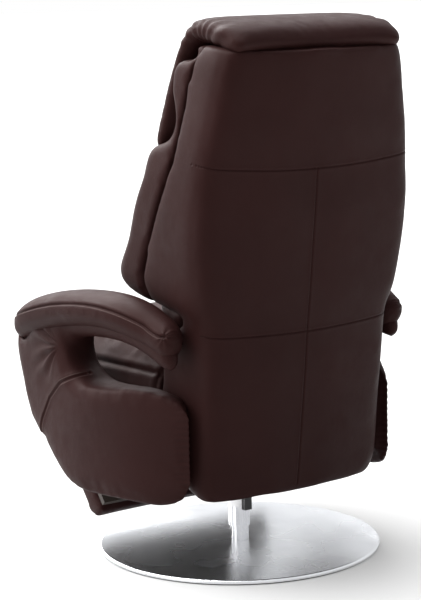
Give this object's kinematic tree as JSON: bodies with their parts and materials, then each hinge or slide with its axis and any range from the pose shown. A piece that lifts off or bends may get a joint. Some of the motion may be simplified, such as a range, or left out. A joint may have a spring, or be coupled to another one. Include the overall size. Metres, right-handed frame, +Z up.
{
  "type": "recliner armchair",
  "caption": "Leather recliner armchair with a round metal swivel base, padded arms, reclining back, tilting headrest and fold-out footrest.",
  "frame": {"origin": "centre of the underside of the round base, on the floor", "axes": "+Z up; the sitter faces -Y; +X is the sitter's left"},
  "size_m": [0.7454, 0.7609, 1.1192],
  "materials": {
    "leather": "smooth semi-aniline leather, satin",
    "brushed_cover": "turned stainless steel, polished",
    "chrome_column": "chrome plated steel tube",
    "frame_steel": "black powder coated steel",
    "plate_steel": "plain heavy steel plate",
    "fastener_steel": "zinc plated steel",
    "floor_rubber": "black felt-backed rubber",
    "plywood": "beech plywood",
    "black_plastic": "moulded nylon",
    "dust_fabric": "black non-woven cloth"
  },
  "bodies": {
    "base": {"floor_pad": "floor_rubber", "weight_plate": "plate_steel", "base_cover": "brushed_cover", "column_tube": "chrome_column", "foot_screws": "fastener_steel", "tube_plug": "frame_steel", "thrust_washer": "black_plastic", "retaining_bolt": "fastener_steel"},
    "seat": {"swivel_sleeve": "chrome_column", "brake_block": "black_plastic", "mounting_plate": "frame_steel", "flange_bolts": "fastener_steel", "front_beam": "frame_steel", "rear_beam": "frame_steel", "seat_rail_left": "frame_steel", "seat_rail_right": "frame_steel", "recline_pins": "fastener_steel", "gas_cylinder": "frame_steel", "gas_bracket": "frame_steel", "seat_frame": "plywood", "zigzag_springs": "fastener_steel", "dust_cover": "dust_fabric", "seat_cushion": "leather", "arm_frame_left": "plywood", "arm_frame_right": "plywood", "arm_pad_left": "leather", "arm_pad_right": "leather", "side_panel_left": "leather", "side_panel_right": "leather", "arm_post_left": "leather", "arm_post_right": "leather", "guide_tube_left": "frame_steel", "guide_tube_right": "frame_steel", "lever_pin": "fastener_steel"},
    "gas_rod": {"gas_rod": "chrome_column"},
    "back": {"back_tail": "leather", "back_shell": "leather", "back_frame": "frame_steel", "recline_arm_left": "frame_steel", "recline_arm_right": "frame_steel", "gas_lugs": "frame_steel", "back_cushion": "leather", "lumbar_cushion": "leather", "head_ratchet_left": "frame_steel", "head_ratchet_right": "frame_steel", "head_pins": "fastener_steel"},
    "head": {"head_plate": "frame_steel", "head_cushion": "leather", "head_roll": "leather"},
    "runner": {"runner_left": "frame_steel", "runner_right": "frame_steel", "foot_pins": "fastener_steel"},
    "footrest": {"tilt_bracket_left": "frame_steel", "tilt_bracket_right": "frame_steel", "footrest_board": "plywood", "footrest_pad": "leather"},
    "lever": {"release_lever": "frame_steel", "lever_grip": "black_plastic"}
  },
  "joints": [
    {"name": "swivel", "type": "hinge", "parent": "base", "child": "seat", "pos_m": [0, 0, 0.1], "axis": [0, 0, 1], "continuous": true},
    {"name": "recline", "type": "hinge", "parent": "seat", "child": "back", "pos_m": [0, 0.13, 0.297], "axis": [-1, 0, 0], "range_deg": [0, 38]},
    {"name": "gas_stroke", "type": "slide", "parent": "seat", "child": "gas_rod", "axis": [0, -1, 0], "range_m": [0, 0.06206]},
    {"name": "head_tilt", "type": "hinge", "parent": "back", "child": "head", "pos_m": [0, 0.10966, 0.89107], "axis": [1, 0, 0], "range_deg": [0, 35]},
    {"name": "footrest_slide", "type": "slide", "parent": "seat", "child": "runner", "axis": [0, -1, 0], "range_m": [0, 0.07]},
    {"name": "footrest_tilt", "type": "hinge", "parent": "runner", "child": "footrest", "pos_m": [0, -0.395, 0.303], "axis": [-1, 0, 0], "range_deg": [0, 129.5]},
    {"name": "lever_pull", "type": "hinge", "parent": "seat", "child": "lever", "pos_m": [-0.24, -0.21, 0.284], "axis": [-1, 0, 0], "range_deg": [0, 6], "stiffness_Nm_per_rad": 6, "springref_deg": -11.46}
  ],
  "couplings": [
    {"joint": "gas_stroke", "follows": "recline", "m_per_rad": 0.09318},
    {"joint": "footrest_tilt", "follows": "footrest_slide", "rad_per_m": 32.272}
  ]
}
